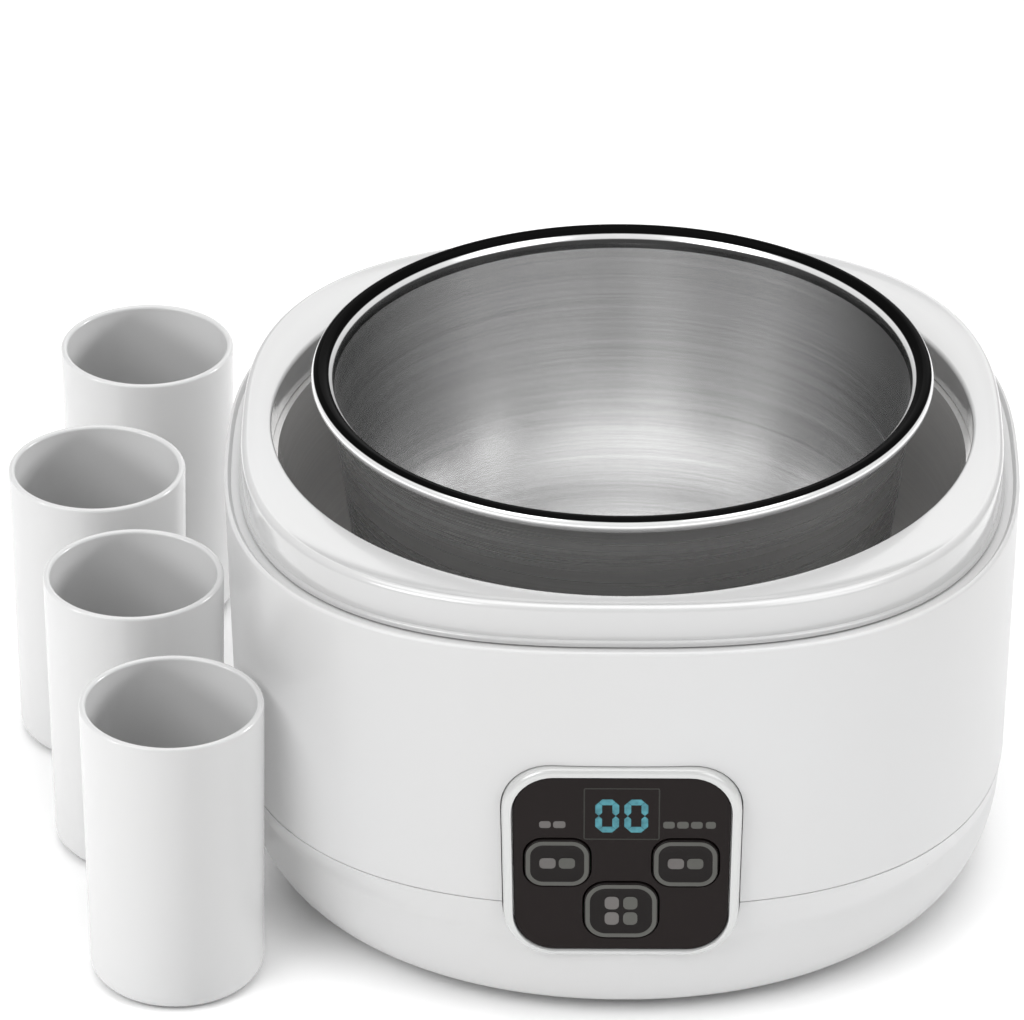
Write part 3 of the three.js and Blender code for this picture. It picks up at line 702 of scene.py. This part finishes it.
def bowl():
    """Three pieces that lift together: the outside, a lining with its own finish, and the rolled rim."""
    flat, curve_r, curve_z = 46, 22, 24
    bottom = CHAMBER_FLOOR_Z + GAP
    neck = BOWL_RIM_R - 4.9
    neck_z = BOWL_TOP_Z - 5.4
    wall_top = neck_z + 0.9
    half = BOWL_SHEET / 2
    lining_gap = 0.02
    ridge = ((30, 0), (30.6, 0.25), (31.4, 0.25), (32, 0))

    def skin(inset):
        """Profile from the middle of the floor up to the neck, this far in from the outer face."""
        floor = bottom + inset
        curve = arc(flat, bottom + curve_z, curve_r - inset, curve_z - inset, -90, -12, 22)
        return [(0, floor), *((r, floor + rise) for r, rise in ridge), *curve,
                *line(curve[-1], (neck - inset, neck_z - 1, ROUND), 12)]

    outer_sheet = [
        *skin(0), (neck + 0.35, neck_z - 0.35), (neck + 0.2, wall_top), (neck - half + 0.1, wall_top),
        *reversed(skin(half)),
    ]
    lining = [
        *skin(half + lining_gap), (neck - half, wall_top), (neck - BOWL_SHEET + 0.15, wall_top),
        *reversed(skin(BOWL_SHEET)),
    ]
    inner_r = neck - BOWL_SHEET
    rim = [
        (neck + 0.3, neck_z + 1.0),
        *arc(BEAD_R, BEAD_Z, BEAD, BEAD, -120, 90, 26),
        (BEAD_R - 1.3, BOWL_TOP_Z - 0.35),
        (BEAD_R - 2.4, BOWL_TOP_Z - 1.3),
        (inner_r + 0.2 + 0.35, BOWL_TOP_Z - 2.6),
        (inner_r + 0.2, neck_z + 1.4),
        (inner_r + 0.1, neck_z + 0.4),
        (inner_r + 0.5, neck_z + 0.9),
    ]
    fit(turned("steel_bowl", outer_sheet), "bowl", STEEL_OUTSIDE, "bowl_steel", "inner_bowl")
    fit(turned("bowl_lining", lining), "bowl", STEEL, "bowl_steel")
    fit(turned("bowl_rim", rim, sharp=60), "bowl", RIM_PAINTED_REFLECTIONS, "bowl_steel")


def cups():
    fillet, hollow = 5, 0.6
    corner = CUP_FOOT_R - fillet
    lip = CUP_WALL / 2
    inner_z = fillet + 1
    inner_fillet = fillet - CUP_WALL
    lip_z = CUP_HEIGHT - lip
    profile = [
        (0, hollow), (corner - 3.4, hollow), (corner - 2.8, 0),
        *arc(corner, fillet, fillet, fillet, -90, 0, 12),
        *line((CUP_FOOT_R, fillet, ROUND), (CUP_R, lip_z, ROUND), 6)[:-1],
        *arc(CUP_R - lip, lip_z, lip, lip, 0, 180, 12),
        *line((CUP_R - CUP_WALL, lip_z, ROUND), (CUP_FOOT_R - CUP_WALL, inner_z, ROUND), 6)[:-1],
        *arc(corner, inner_z, inner_fillet, inner_fillet, 0, -90, 10),
        (0, inner_z - inner_fillet),
    ]
    for i in NUMBERED:
        cup = turned(f"serving_cup_{i}", profile, ROUND_SIDES // 2, location=middle(f"cup_{i}"))
        fit(cup, f"cup_{i}", CUP, "cup_white", f"cup_{i}")


# ---- Control panel: X right, Y up the panel, Z out of it ----

def shifted(points, dx, dy):
    return [(x + dx, y + dy) for x, y in points]


def bezel():
    """The panel's frame: a rounded outer edge, a small inner lip and a hollow back."""
    edge, lip, flange = 1.5, 0.3, 1.6
    seat = PANE_BACK - GAP
    rings = [at_height(rounded_rectangle(BEZEL), BEZEL_BACK)]
    for a in quarter_turn(6):
        border = rounded_rectangle(BEZEL, edge * (math.cos(a) - 1))
        rings.append(at_height(border, BEZEL_FRONT - edge * (1 - math.sin(a))))
    for a in quarter_turn(6):
        border = rounded_rectangle(PANE, lip * (1 - math.sin(a)))
        rings.append(at_height(border, BEZEL_FRONT - lip * (1 - math.cos(a))))
    rings.append(at_height(rounded_rectangle(PANE), seat))
    rings.append(at_height(rounded_rectangle(PANE, -flange), seat))
    rings.append(at_height(rounded_rectangle(PANE, -flange), BEZEL_BACK))
    made = loft("panel_frame", [narrowed(ring) for ring in rings], closed=True, matrix=PANEL)
    fit(made, "base", BEZEL_FINISH, "bezel_silver", "panel_bezel")


def window():
    border = narrowed(rounded_rectangle(PANE, -GAP, steps=16))
    holes = [shifted(rounded_rectangle(key, steps=12), x, y) for x, y, key in KEY_PLACES.values()]
    glass = plate("black_window", [border, *holes], PANE_BACK, PANE_FRONT, 0.25, matrix=PANEL)
    fit(glass, "base", PANE_BLACK, "pane_black", "panel_window")


def mark(name, outlines, z, material, body, slot_name, raised=0.06):
    """A printed mark: a very thin plate on a face of the panel at height z."""
    made = plate(name, outlines, z, z + raised, 0.02, matrix=PANEL)
    fit(made, body, material, slot_name)


def bar(x, y, width, height):
    shape = {"width": width, "height": height, "corner": min(width, height) * 0.35}
    return shifted(rounded_rectangle(shape, steps=4), x, y)


def segment(x, y, length, thick, upright):
    """A six-sided display segment centred on x, y."""
    h, t = length / 2, thick / 2
    points = [(-h, 0), (-h + t, -t), (h - t, -t), (h, 0), (h - t, t), (-h + t, t)]
    if upright:
        points = [(-py, px) for px, py in points]
    return shifted(points, x, y)


def display():
    """A thin printed frame round two lit digits, each a zero of six segments."""
    frame_shape = {"width": 19.7, "height": 15.9, "corner": 0.6, "y": 15.05}
    border = [rounded_rectangle(frame_shape), rounded_rectangle(frame_shape, -0.35)]
    mark("display_frame", border, PANE_FRONT, PRINT_FRAME, "base", "pane_black", THIN_PRINT)
    width, height, thick, gap = 4.4, 8.4, 1.75, 0.12
    cy = 14.45
    for name, cx in (("tens", -3.75), ("units", 3.75)):
        segments = [segment(cx, cy + side * height / 2, width - gap, thick, False) for side in (1, -1)]
        segments += [
            segment(cx + side * width / 2, cy + level * height / 4, height / 2 - gap, thick, True)
            for side in (-1, 1) for level in (-1, 1)
        ]
        for k, outline in enumerate(segments):
            mark(f"digit_{name}_{k + 1}", [outline], PANE_FRONT, GLOW, "base", "pane_black")


SIDE_MARKS = [(x, 0, 4.2, 3.2) for x in (-2.5, 2.5)]
CENTER_MARKS = [(x, y, 3.7, 3.9) for y in (2.4, -2.4) for x in (-2.4, 2.4)]
KEY_MARKS = {"left": SIDE_MARKS, "right": SIDE_MARKS, "center": CENTER_MARKS}


def keys():
    """Caps with a rounded edge and a dished face, a pale ring and plain blocks for the marks."""
    edge = 0.45
    dish = ((1.5, 0), (2.0, 0.12), (3.2, 0.2), (4.5, 0.22))
    for name, (x, y, key) in KEY_PLACES.items():
        body = f"key_{name}"
        rings = [at_height(rounded_rectangle(key, -GAP), PANE_BACK - 0.7)]
        for a in quarter_turn(5):
            border = rounded_rectangle(key, -GAP - edge * (1 - math.cos(a)))
            rings.append(at_height(border, KEY_FRONT - edge * (1 - math.sin(a))))
        for inset, drop in dish:
            rings.append(at_height(rounded_rectangle(key, -GAP - inset), KEY_FRONT - drop))
        cap = loft(f"key_cap_{name}", rings, matrix=PANEL @ Matrix.Translation((x * MM, y * MM, 0)))
        fit(cap, body, KEY_BLACK, "key_black", body)
        ring = [shifted(rounded_rectangle(key, -GAP - inset, steps=12), x, y) for inset in (0.35, 1.5)]
        mark(f"key_ring_{name}", ring, KEY_FRONT, PRINT_GREY, body, "key_black", 0.05)
        for k, (dx, dy, width, height) in enumerate(KEY_MARKS[name]):
            tone = PRINT_PALE if k % 2 == 0 else PRINT_GREY
            block = bar(x + dx, y + dy, width, height)
            mark(f"key_mark_{name}_{k + 1}", [block], KEY_FRONT - 0.2, tone, body, "key_black", 0.12)


def labels():
    """Short bars that stand for the two labels beside the display."""
    y, height = 11.7, 2.1
    pale_bars = ((-19.8, 3.0), (-16.1, 3.2))
    grey_bars = ((12.2, 3.0), (15.8, 3.0), (19.4, 3.0), (23.0, 2.6))
    for side, tone, bars in (("left", PRINT_PALE, pale_bars), ("right", PRINT_GREY, grey_bars)):
        for k, (x, width) in enumerate(bars):
            outline = bar(x, y, width, height)
            mark(f"label_{side}_{k + 1}", [outline], PANE_FRONT, tone, "base", "pane_black", THIN_PRINT)


# ---- Mains inlet, drawn in XY and stood up to face +Y ----

def inlet_mouth():
    """Outline of the mouth: two round wells that meet in a waist, one round each pin."""
    waist, steps = 3.2, 24
    open_angle = math.asin(waist / PIN_WELL)
    sweep = 2 * math.pi - 2 * open_angle
    mouth = []
    for side, start in ((1, -math.pi + open_angle), (-1, open_angle)):
        for i in range(steps + 1):
            a = start + sweep * i / steps
            mouth.append((side * PIN_SPACING + PIN_WELL * math.cos(a), PIN_WELL * math.sin(a)))
    return mouth


def inlet():
    """The socket in three pieces: its face, the well behind that and the well's closed back."""
    front = INLET_FLANGE_Y + INLET_FLANGE
    seat = front - PIN_DEPTH
    back = INLET_FLANGE_Y - 16
    mouth = inlet_mouth()
    border = rounded_rectangle(INLET_FACE, steps=8)
    well = rounded_rectangle({"width": 24, "height": 14, "corner": 1}, steps=4)
    face = plate("inlet_face", [border, mouth], INLET_FLANGE_Y, front, 0.5, matrix=BACK_WALL)
    fit(face, "base", INLET_DARK, "part_dark", "inlet_socket")
    walls = plate("inlet_well", [well, mouth], seat, INLET_FLANGE_Y, 0.1, matrix=BACK_WALL)
    fit(walls, "base", INLET_DARK, "part_dark")
    closed_back = loft("inlet_back", [at_height(well, back), at_height(well, seat)], matrix=BACK_WALL)
    fit(closed_back, "base", INLET_DARK, "part_dark")


def inlet_pins():
    length, edge = 15.9, 0.6
    tip = INLET_FLANGE_Y - 1.5
    pin = [
        (0, tip - length), (PIN_R, tip - length),
        *arc(PIN_R - edge, tip - edge, edge, edge, 0, 90, 6), (0, tip),
    ]
    for name, side in (("left", 1), ("right", -1)):
        place = BACK_WALL @ Matrix.Translation((side * PIN_SPACING * MM, 0, 0))
        made = new_object(f"plated_pin_{name}", *turned_mesh(pin, SMALL_SIDES), matrix=place)
        fit(made, "base", PIN_METAL, "pin_metal", f"inlet_pin_{name}")


# ---- Parts inside, which keep their CAD shapes ----

INSIDE = {
    HEATER_METAL: ("heater_plate", "heater_clamp", "temperature_sensor"),
    ELEMENT: ("heater_element",),
    FELT: ("insulation_sleeve", "thermal_fuse"),
    BOARD: ("power_board", "control_board", "terminal_block"),
    PART_DARK: ("transformer", "relay", "capacitor", "display_module", "buzzer", "controller_chip",
                "switch_left", "switch_right", "switch_center", "inlet_lead"),
    SLEEVE: ("heater_lead", "ribbon_cable"),
}


def finish_inside():
    for material, nodes in INSIDE.items():
        for node in nodes:
            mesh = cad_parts[node].data
            mesh.materials.clear()
            mesh.materials.append(material)


# ---- Floor, light and camera ----

def studio():
    """A pale floor far wider than the view, just under the feet, and an even white world."""
    half = 6000
    corners = [(-half, -half, 0), (half, -half, 0), (half, half, 0), (-half, half, 0)]
    floor = new_object("floor", corners, [(0, 1, 2, 3)])
    floor.location.z = -0.2 * MM
    floor.data.materials.append(moulded("pale_floor", 0.97, (0.55, 0.65), 0.01, 1e-5, warm=0.0))

    world = bpy.data.worlds.new("studio")
    world.use_nodes = True
    background = world.node_tree.nodes["Background"]
    background.inputs["Color"].default_value = (1, 1, 1, 1)
    background.inputs["Strength"].default_value = 0.42
    bpy.context.scene.world = world


def softbox(name, at, size, power):
    """A round soft lamp that looks at the machine; its place is in metres from the axis."""
    aim = Vector((0, 0, 0.08))
    data = bpy.data.lights.new(name, "AREA")
    data.shape = "DISK"
    data.size = size
    data.energy = power
    lamp = bpy.data.objects.new(name, data)
    bpy.context.scene.collection.objects.link(lamp)
    lamp.location = AXIS + Vector(at)
    lamp.rotation_mode = "QUATERNION"
    lamp.rotation_quaternion = (aim - Vector(at)).to_track_quat("-Z", "Y")
    lamp.visible_camera = False
    return lamp


def choose(lamp, names, state):
    """Makes a lamp light only, or all but, the named pieces."""
    chosen = bpy.data.collections.new(lamp.name + "_receivers")
    for name in names:
        chosen.objects.link(bpy.data.objects[name])
    lamp.light_linking.receiver_collection = chosen
    for entry in chosen.collection_objects:
        entry.light_linking.link_state = state


def lamps():
    cup_names = [f"serving_cup_{i}" for i in NUMBERED]
    softbox("key", (-1.25, -1.2, 1.5), 1.4, 20)
    softbox("overhead", (0.1, 0.2, 2.0), 2.2, 27)
    softbox("behind", (0.3, 1.8, 0.9), 1.4, 4)
    choose(softbox("fill", (1.4, -1.2, 1.6), 1.6, 15), cup_names, "EXCLUDE")
    choose(softbox("cup_left", (-2.2, -0.8, 0.7), 0.6, 17), cup_names, "INCLUDE")
    choose(softbox("floor_wash", (0, -1.2, 2.2), 1.8, 10), ["floor"], "INCLUDE")
    edge_lamp = softbox("cup_right", (1.7, 0.35, 0.5), 0.4, 18)
    choose(edge_lamp, cup_names, "INCLUDE")
    edge_lamp.light_linking.blocker_collection = edge_lamp.light_linking.receiver_collection


def camera():
    """A long lens in front of the set, looking down at it; lengths in metres from the axis."""
    elevation = math.radians(29.78)
    distance, look_height = 2.2, 0.0986
    eye_x, target_x = -0.013, -0.02918
    eye = Vector((eye_x, -distance * math.cos(elevation), look_height + distance * math.sin(elevation)))
    target = Vector((target_x, 0, look_height))
    made = bpy.data.objects.new("camera", bpy.data.cameras.new("camera"))
    bpy.context.scene.collection.objects.link(made)
    made.location = AXIS + eye
    made.rotation_mode = "QUATERNION"
    made.rotation_quaternion = (target - eye).to_track_quat("-Z", "Y")
    made.data.sensor_width = 36
    made.data.lens = 289.7
    made.data.clip_start, made.data.clip_end = 0.05, 60
    bpy.context.scene.camera = made
    bpy.context.scene.view_settings.view_transform = "Standard"


body_shell()
base_shell()
collar()
underside_cover()
feet()
cover_screws()
chamber()
bowl()
cups()
bezel()
window()
display()
keys()
labels()
inlet()
inlet_pins()
finish_inside()
studio()
lamps()
camera()
